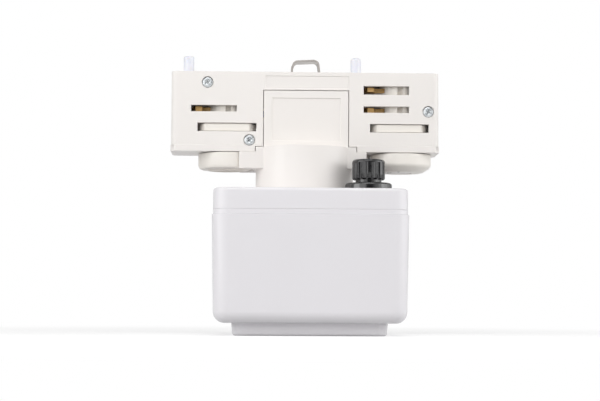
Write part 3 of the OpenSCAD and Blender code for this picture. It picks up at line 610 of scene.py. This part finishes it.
FRAME_HALF = 29.6
FRAME_RADIUS = 4.5
FRAME_EDGE = 1.1
FRAME_DRAFT = 0.25
FRAME_TOP = BOX_BASE - 0.02
WELL_DEPTH = 17.5
WELL_OUTER = 22.4
WELL_BACK = 19.7
WELL_MOUTH = 0.7
WELL_MIDDLE = 8.0
EDGE_STEPS = 6
PIN_X = 9.5
PIN_HOLE = 3.0
PIN_FUNNEL = 3.9
# The ribs left and right that guide a plug
GUIDE_X = 19.2
GUIDE_HALF = (1.5, 2.5)
GUIDE_Z = (1.9, 17.6)
# The windows of the earth clip, in front and behind
CLIP_Y = 18.8
CLIP_HALF = (2.8, 0.8)
CENTRE_SEAT = 4.0
SEAT_DEPTH = 2.0
SCREW_BORE = 1.6


def frame_loft():
    """The square frame and the well, without what lies in the well's floor."""
    loops = [box_loop(FRAME_HALF, FRAME_RADIUS, FRAME_TOP),
             box_loop(FRAME_HALF - 0.5 * FRAME_DRAFT, FRAME_RADIUS, 3.0)]
    for inset, rise in setbacks(FRAME_EDGE, EDGE_STEPS):
        loops.append(box_loop(FRAME_HALF - FRAME_DRAFT - inset, FRAME_RADIUS - inset, rise))
    well = [(WELL_RADIUS + out, rise) for rise, out in setbacks(WELL_MOUTH, EDGE_STEPS)]
    well += [(WELL_RADIUS, WELL_MIDDLE), (WELL_RADIUS, WELL_DEPTH - 0.6),
             (WELL_RADIUS - 0.2, WELL_DEPTH - 0.15), (WELL_RADIUS - 0.6, WELL_DEPTH),
             (CENTRE_SEAT, WELL_DEPTH), (CENTRE_SEAT, WELL_BACK), (WELL_OUTER, WELL_BACK),
             (WELL_OUTER, FRAME_TOP)]
    guide = loops[-1]
    return ring_loft(loops + [box_circle(guide, radius, z) for radius, z in well])


def make_socket_face():
    obj = new_object("socket_face_moulded", frame_loft(), "box_plastic")
    # The floor's middle, with the seat of the centre screw
    reach = CENTRE_SEAT + 0.3
    seat = lathe([(reach, WELL_DEPTH), (reach, WELL_BACK), (SCREW_BORE, WELL_BACK),
                  (SCREW_BORE, WELL_DEPTH + 1.2), (2.8, WELL_DEPTH + 1.2),
                  (2.8, WELL_DEPTH + 0.15), (2.95, WELL_DEPTH)], 64, BOX_CENTRE)
    guides = []
    for side in (-1, 1):
        x = BOX_X + side * GUIDE_X
        rib = block((x - GUIDE_HALF[0], -GUIDE_HALF[1], GUIDE_Z[0]),
                    (x + GUIDE_HALF[0], GUIDE_HALF[1], GUIDE_Z[1]))
        bmesh.ops.bevel(rib, geom=rib.edges, offset=0.35 * MM, segments=3, profile=0.5,
                        affect="EDGES")
        guides.append(rib)
    cut(obj, [seat] + guides, "UNION")
    cutters = []
    for side in (-1, 1):
        cutters.append(lathe([(0, WELL_DEPTH - PAST), (PIN_FUNNEL, WELL_DEPTH - PAST),
                              (PIN_FUNNEL, WELL_DEPTH - 0.01), (PIN_HOLE, WELL_DEPTH + 0.8),
                              (PIN_HOLE, WELL_BACK + PAST), (0, WELL_BACK + PAST)],
                             48, (BOX_X + side * PIN_X, 0)))
        y = side * CLIP_Y
        cutters.append(block((BOX_X - CLIP_HALF[0], y - CLIP_HALF[1], WELL_DEPTH - 0.5),
                             (BOX_X + CLIP_HALF[0], y + CLIP_HALF[1], WELL_BACK + PAST)))
    for corner in CORNERS:
        cutters.append(lathe([(0, -PAST), (3.15, -PAST), (3.15, 0), (2.9, 0.25),
                              (2.9, SEAT_DEPTH), (SCREW_BORE, SEAT_DEPTH),
                              (SCREW_BORE, BOX_BASE + PAST), (0, BOX_BASE + PAST)], 40, corner))
    cut(obj, cutters)
    place(obj, "housing", "box_plastic", "socket_face")


# Fuse holder and its cap

HOLDER_BOTTOM = 22.0
HOLDER_FLOOR = 29.5
HOLDER_BORE = 4.3
TERMINAL_HOLE = 1.05
FLANGE_RADIUS = 9.05
FLANGE_TOP = 58.6
FLANGE_EDGE = 0.95
CAP_RADIUS = 6.35
CAP_NECK = 5.0
CAP_BASE = 59.85
CAP_MIDDLE = 63.0
CAP_TOP = 67.7
CAP_EDGE = 0.95
# The tube under the cap, which carries the fuse
TUBE_RADIUS = 3.95
TUBE_BORE = 2.9
TUBE_LOW = 36.0
TUBE_FLOOR = 52.3
RIBS = 16
GROOVE_DEPTH = 0.5
GROOVE_HALF = 0.72
STEPS_PER_RIB = 16


def make_fuse_holder():
    profile = [(TERMINAL_HOLE, HOLDER_BOTTOM), (HOLDER_RADIUS - 0.3, HOLDER_BOTTOM),
               (HOLDER_RADIUS, HOLDER_BOTTOM + 0.3), (HOLDER_RADIUS, LID_TOP),
               (FLANGE_RADIUS - 0.1, LID_TOP), (FLANGE_RADIUS, LID_TOP + 0.1)]
    profile += fillet(FLANGE_RADIUS - FLANGE_EDGE, FLANGE_TOP - FLANGE_EDGE, FLANGE_EDGE)
    profile += [(HOLDER_BORE + 0.3, FLANGE_TOP), (HOLDER_BORE + 0.1, FLANGE_TOP - 0.08),
                (HOLDER_BORE, FLANGE_TOP - 0.3), (HOLDER_BORE, HOLDER_FLOOR),
                (TERMINAL_HOLE, HOLDER_FLOOR)]
    obj = new_object("fuse_holder_moulded", lathe(profile, 96, FUSE_PLACE), "black_plastic")
    # The slot of the side terminal looks towards the neck
    toward_neck = math.degrees(math.atan2(-FUSE_PLACE[1], -FUSE_PLACE[0]))
    seat = Matrix.Translation(mm(*FUSE_PLACE, 0)) @ turned(toward_neck)
    cut(obj, [block((4.0, -1.3, 43.5), (10, 1.3, 44.5), seat)])
    place(obj, "housing", "black_plastic", "fuse_holder_body")


def ribbed(a, r, z):
    """Grooves between the ribs of the cap, which end below its top ring."""
    if r < CAP_RADIUS - 0.35 or z > CAP_TOP - 1.2 or z < CAP_BASE + 0.05:
        return r
    pitch = 2 * math.pi / RIBS
    off = abs((a % pitch) - pitch / 2) * CAP_RADIUS
    if off > GROOVE_HALF:
        return r
    return r - GROOVE_DEPTH * math.cos(off / GROOVE_HALF * math.pi / 2) ** 0.8


def make_fuse_cap():
    neck_low = FLANGE_TOP + 0.1
    profile = [(0, TUBE_FLOOR), (TUBE_BORE, TUBE_FLOOR), (TUBE_BORE, TUBE_LOW + 0.2),
               (TUBE_BORE + 0.2, TUBE_LOW), (TUBE_RADIUS - 0.2, TUBE_LOW),
               (TUBE_RADIUS, TUBE_LOW + 0.2), (TUBE_RADIUS, neck_low), (CAP_NECK, neck_low),
               (CAP_NECK, CAP_BASE), (CAP_RADIUS - 0.65, CAP_BASE),
               (CAP_RADIUS - 0.2, CAP_BASE + 0.25), (CAP_RADIUS, CAP_BASE + 0.6),
               (CAP_RADIUS, CAP_MIDDLE), (CAP_RADIUS, CAP_TOP - 1.5),
               (CAP_RADIUS, CAP_TOP - 1.25), (CAP_RADIUS, CAP_TOP - 1.15)]
    profile += fillet(CAP_RADIUS - CAP_EDGE, CAP_TOP - CAP_EDGE, CAP_EDGE)
    profile += [(3, CAP_TOP), (0, CAP_TOP)]
    bm = lathe(profile, RIBS * STEPS_PER_RIB, FUSE_PLACE, ribbed)
    obj = new_object("fuse_cap_moulded", bm, "black_cap")
    cut(obj, [block((-4.2, -0.7, CAP_TOP - 1), (4.2, 0.7, CAP_TOP + PAST),
                    Matrix.Translation(mm(*FUSE_PLACE, 0)))])
    place(obj, "fuse_cap", "black_plastic", "fuse_cap")


# Screws, dial and pins

# Place on the front and turn of each housing screw: x, z, degrees
HOUSING_SCREWS = ((-38.4, 98.7, 12), (-21.9, 76.0, 38), (48.4, 87.7, 65))
# Head's radius and height, shank's radius and length
HOUSING_SCREW = (2.15, 1.1, 1.2, 16)
SOCKET_SCREW = (2.7, 1.5, 1.25, 10.5)
# Head's and shank's radius
CENTRE_SCREW = (2.7, 1.45)
CENTRE_SCREW_TOP = 29.5
# Socket screws turn further one by one, in degrees
SOCKET_TURN = (17, 29)
RECESS_HALF = (1.3, 0.3)
# The recess gets this much narrower along and across each bar, down to its point
RECESS_TAPER = (0.42, 0.6)

PIN_RADIUS = 2.1
PIN_Z = (98.2, 110.2)
# Node: x and rounding of the top edge
PINS = {"coding_pin_left": (-46.2, 0.55), "coding_pin_right": (20.4, 1.15)}

DIAL_FACE = PHASE_KNOB + 0.1
DIAL_RADIUS = 5.4
DIAL_SHAFT = 2.0
DIAL_SHAFT_TOP = 97
DIAL_SLOT = (3.2, 0.55, 0.8)
# The three numbers on the dial
DIGIT_SIZE = 2.3
DIGIT_RELIEF = 0.03
DIGIT_RADIUS = 3.75
DIGIT_PITCH = 60
POINTER = ((-0.45, -6.3), (0.45, -6.3), (0, -5.78))


def cross_screw(name, size, turn):
    """A screw along Z whose head faces up at z = 0, with a cross recess that narrows downwards."""
    head, head_height, shank, length = size
    profile = [(0, -length), (shank, -length), (shank, -head_height), (head, -head_height),
               (head, -0.5), (head - 0.05, -0.36), (head - 0.18, -0.24), (head - 0.45, -0.11),
               (head - 0.75, -0.03), (1.2, 0.0), (1.1, -0.05), (0.98, -0.3), (0.7, -0.45),
               (0, -0.5)]
    obj = new_object(name, lathe(profile, 64, (0, 0)), "zinc_steel")
    for bar_turn in (0, 90):
        bar = block((-RECESS_HALF[0], -RECESS_HALF[1], -1.0), (*RECESS_HALF, 0.5))
        for v in bar.verts:
            if v.co.z < 0:
                v.co.x *= RECESS_TAPER[0]
                v.co.y *= RECESS_TAPER[1]
        bmesh.ops.transform(bar, matrix=turned(bar_turn + turn), verts=bar.verts)
        cut(obj, [bar])
    return obj


def make_screws(name, node, size, seats):
    """One piece for each screw, of which the first replaces the node with all of them."""
    for number, (seat, turn) in enumerate(seats, 1):
        obj = cross_screw("%s_%d" % (name, number), size, turn)
        obj.data.transform(seat)
        replaced = [node] if number == 1 else []
        place(obj, "housing", "zinc_steel", *replaced)


def make_housing_screws():
    make_screws("housing_screw", "housing_screws", HOUSING_SCREW,
                [(Matrix.Translation(mm(x, -FACE + 0.15, z)) @ turned(90, "X"), turn)
                 for x, z, turn in HOUSING_SCREWS])


def make_socket_screws():
    first, pitch = SOCKET_TURN
    make_screws("socket_screw", "socket_screws", SOCKET_SCREW,
                [(Matrix.Translation(mm(*corner, 0.5)) @ turned(180, "X"), first + pitch * number)
                 for number, corner in enumerate(CORNERS, 1)])


def make_centre_screw():
    head, shank = CENTRE_SCREW
    face = WELL_DEPTH + 0.1
    profile = [(0, CENTRE_SCREW_TOP), (shank, CENTRE_SCREW_TOP), (shank, face + 1.1),
               (head, face + 1.1), (head, face + 0.3), (head - 0.08, face + 0.1),
               (head - 0.3, face), (0, face)]
    obj = new_object("socket_centre_screw_turned", lathe(profile, 64, BOX_CENTRE), "zinc_steel")
    seat = Matrix.Translation(mm(*BOX_CENTRE, 0)) @ turned(24)
    cut(obj, [block((-3, -0.4, face - PAST), (3, 0.4, face + 0.6), seat)])
    place(obj, "housing", "zinc_steel", "socket_centre_screw")


def make_phase_dial():
    """The dial in the knob's underside, with a slot for a blade."""
    face = DIAL_FACE
    back = face + 2.0
    profile = [(0, face), (DIAL_RADIUS - 0.4, face), (DIAL_RADIUS - 0.15, face + 0.06),
               (DIAL_RADIUS, face + 0.3), (DIAL_RADIUS, back), (DIAL_SHAFT, back),
               (DIAL_SHAFT, DIAL_SHAFT_TOP), (0, DIAL_SHAFT_TOP)]
    obj = new_object("phase_dial_turned", lathe(profile, 72, (PHASE_X, 0)), "adapter_plastic")
    half_x, half_y, depth = DIAL_SLOT
    cut(obj, [block((-half_x, -half_y, face - PAST), (half_x, half_y, face + depth),
                    Matrix.Translation(mm(PHASE_X, 0, 0)))])
    place(obj, "phase_dial", "adapter_plastic", "phase_dial")


def digit_mesh(digit):
    """A flat digit about the origin, which faces up."""
    curve = bpy.data.curves.new("mark", "FONT")
    curve.body = str(digit)
    curve.size, curve.extrude = DIGIT_SIZE * MM, DIGIT_RELIEF * MM
    curve.align_x, curve.align_y = "CENTER", "CENTER"
    text = bpy.data.objects.new("mark", curve)
    scene.collection.objects.link(text)
    bpy.context.view_layer.update()
    graph = bpy.context.evaluated_depsgraph_get()
    mesh = bpy.data.meshes.new_from_object(text.evaluated_get(graph))
    bpy.data.objects.remove(text)
    return mesh


def make_dial_marks():
    """The plain numbers 1, 2 and 3 on the dial, and the knob's pointer to one of them."""
    marks = bmesh.new()
    for digit in (1, 2, 3):
        mesh = digit_mesh(digit)
        out = turned(-DIGIT_PITCH * (digit - 1)) @ Matrix.Translation(mm(0, -DIGIT_RADIUS, 0))
        seat = Matrix.Translation(mm(PHASE_X, 0, DIAL_FACE - 0.02))
        mesh.transform(seat @ out @ turned(180, "X"))
        marks.from_mesh(mesh)
    place(new_object("phase_dial_numbers", marks, "print_grey"), "phase_dial", "print_grey")
    pointer = bmesh.new()
    low = [pointer.verts.new(mm(PHASE_X + x, y, PHASE_KNOB - 0.04)) for x, y in POINTER]
    high = [pointer.verts.new(v.co + mm(0, 0, 0.08)) for v in low]
    pointer.faces.new(low)
    pointer.faces.new(high)
    for i in range(3):
        j = (i + 1) % 3
        pointer.faces.new((low[i], low[j], high[j], high[i]))
    place(new_object("phase_pointer", pointer, "print_grey"), "phase_lever", "print_grey")


def make_coding_pins():
    low, high = PIN_Z
    for node, (x, edge) in PINS.items():
        profile = [(0, low), (PIN_RADIUS, low)]
        profile += fillet(PIN_RADIUS - edge, high - edge, edge) + [(0, high)]
        obj = new_object(node + "_moulded", lathe(profile, 64, (x, 0)), "pin_plastic")
        place(obj, "housing", "pin_plastic", node)


make_box_body()
make_box_cap()
make_socket_face()
make_fuse_holder()
make_fuse_cap()
make_housing_screws()
make_socket_screws()
make_centre_screw()
make_phase_dial()
make_dial_marks()
make_coding_pins()
moulded("earth_spring", "housing", "spring_steel", 0.1, angle=60)
moulded("neutral_contact", "locking_lever", "brass", 0.14, 3)
moulded("phase_contact_lower", "phase_lever", "brass", 0.14, 3)
moulded("phase_contact_upper", "phase_lever", "brass", 0.14, 3)
moulded("earth_clip", "housing", "zinc_steel", 0.1, angle=60)
moulded("sleeve_neutral", "housing", "brass", 0.12)
moulded("sleeve_live", "housing", "brass", 0.12)
moulded("fuse_end_caps", "fuse", "zinc_steel", 0.25, 3)

# Finish of the CAD nodes that stay

for m in frame["record"]["materials"]:
    if m["slot"] not in MATERIALS:
        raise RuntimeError("no material for " + m["slot"])
for part in frame["record"]["subparts"]:
    obj = nodes[part["node"]]
    if not obj.hide_render:
        obj.data.materials.clear()
        obj.data.materials.append(MATERIALS[part["material_slot"]])

# Stage and light

FLOOR_HALF = 6.0
FLOOR_TONE = 0.58
# Light that the camera and reflections see from the floor beyond what falls on it
FLOOR_GLOW = 0.55
# Distances in metres from the object between which the floor turns plain white to the camera
FLOOR_FADE = (0.1, 0.3)

# Level of the pale tent round the object, and share of it that is left overhead
TENT = 0.64
TENT_TOP = 0.38
# Heights between which the tent darkens, as the sine of the angle above the floor
TENT_DARKENS = (0.15, 0.75)
# Direction of the dark opening in front, and the angles between which it opens, in degrees
OPENING = (0.07, -0.99, 0.12)
OPENING_EDGE = (30, 14)

# Name: place, size and level of each softbox. A level of 1 is a face as bright as white.
SOFTBOXES = {
    "left_near": ((-300, -565, 230), (380, 460), 0.8),
    "left_side": ((-565, -300, 230), (380, 460), 2.4),
    "right_near": ((340, -545, 230), (330, 460), 0.2),
    "right_side": ((565, -300, 230), (380, 460), 0.9),
    "right_end": ((600, -110, 200), (420, 400), 1.7),
    "right_rim": ((612, 187, 200), (270, 380), 0.6),
    "front_mid": ((0, -700, 350), (520, 260), 1.35),
    "front_high": ((0, -250, 430), (400, 220), 2.1),
}
SOFTBOX_AIM = (0, 0, 60)


def fade(tree, value, start, end, a, b):
    """A number that goes softly from a to b while value goes from start to end."""
    node = add_node(tree, "MapRange", {"Value": value, "From Min": start, "From Max": end,
                                       "To Min": a, "To Max": b}, interpolation_type="SMOOTHSTEP")
    return node.outputs["Result"]


def combine(tree, operation, a, b):
    return add_node(tree, "Math", {0: a, 1: b}, operation=operation).outputs[0]


def make_floor():
    mesh = bpy.data.meshes.new("floor")
    s = FLOOR_HALF
    mesh.from_pydata([(-s, -s, 0), (s, -s, 0), (s, s, 0), (-s, s, 0)], [], [(0, 1, 2, 3)])
    floor = bpy.data.objects.new("floor", mesh)
    scene.collection.objects.link(floor)
    m = bpy.data.materials.new("floor")
    m.use_nodes = True
    tree = m.node_tree
    tree.nodes.clear()
    path = add_node(tree, "LightPath")
    seen = combine(tree, "MAXIMUM", path.outputs["Is Camera Ray"], path.outputs["Is Glossy Ray"])
    diffuse = add_node(tree, "BsdfDiffuse", {"Color": (FLOOR_TONE, FLOOR_TONE, FLOOR_TONE, 1)})
    glow = add_node(tree, "Emission", {"Strength": combine(tree, "MULTIPLY", seen, FLOOR_GLOW)})
    near = add_node(tree, "AddShader", {0: diffuse.outputs[0], 1: glow.outputs[0]})
    # Far from the object the floor is plain white to the camera, so that no horizon shows
    coord = add_node(tree, "TexCoord")
    far = add_node(tree, "VectorMath", {0: coord.outputs["Object"]}, operation="LENGTH")
    far_share = fade(tree, far.outputs["Value"], *FLOOR_FADE, 0.0, 1.0)
    white = add_node(tree, "Emission")
    mix = add_node(tree, "MixShader", {0: combine(tree, "MULTIPLY", far_share, seen),
                                       1: near.outputs[0], 2: white.outputs[0]})
    add_node(tree, "OutputMaterial", {"Surface": mix.outputs[0]})
    mesh.materials.append(m)


def make_world():
    """White where the camera looks, and round the object a pale tent with a dark opening."""
    world = bpy.data.worlds.new("world")
    scene.world = world
    world.use_nodes = True
    tree = world.node_tree
    way = add_node(tree, "TexCoord").outputs["Generated"]
    toward = add_node(tree, "VectorMath", {0: way, 1: OPENING}, operation="DOT_PRODUCT")
    start, end = (math.cos(math.radians(a)) for a in OPENING_EDGE)
    level = fade(tree, toward.outputs["Value"], start, end, TENT, 0.0)
    height = add_node(tree, "SeparateXYZ", {0: way}).outputs["Z"]
    share = fade(tree, height, *TENT_DARKENS, 1.0, TENT_TOP)
    camera_ray = add_node(tree, "LightPath").outputs["Is Camera Ray"]
    mix = add_node(tree, "Mix", {0: camera_ray, 2: combine(tree, "MULTIPLY", level, share),
                                 3: 1.0}, data_type="FLOAT")
    back = tree.nodes["Background"]
    tree.links.new(mix.outputs[0], back.inputs["Strength"])
    back.inputs["Color"].default_value = (1, 1, 1, 1)


def softbox(name, spot, size, level):
    """An area lamp that faces the object."""
    data = bpy.data.lights.new(name, "AREA")
    data.shape = "RECTANGLE"
    data.size, data.size_y = size[0] * MM, size[1] * MM
    data.energy = level * math.pi * data.size * data.size_y
    lamp = bpy.data.objects.new(name, data)
    scene.collection.objects.link(lamp)
    lamp.location = mm(*spot)
    lamp.rotation_mode = "QUATERNION"
    aim = mm(*SOFTBOX_AIM) - lamp.location
    lamp.rotation_quaternion = aim.to_track_quat("-Z", "Y")


make_floor()
make_world()
for box_name, box in SOFTBOXES.items():
    softbox(box_name, *box)

scene.view_settings.view_transform = "Standard"
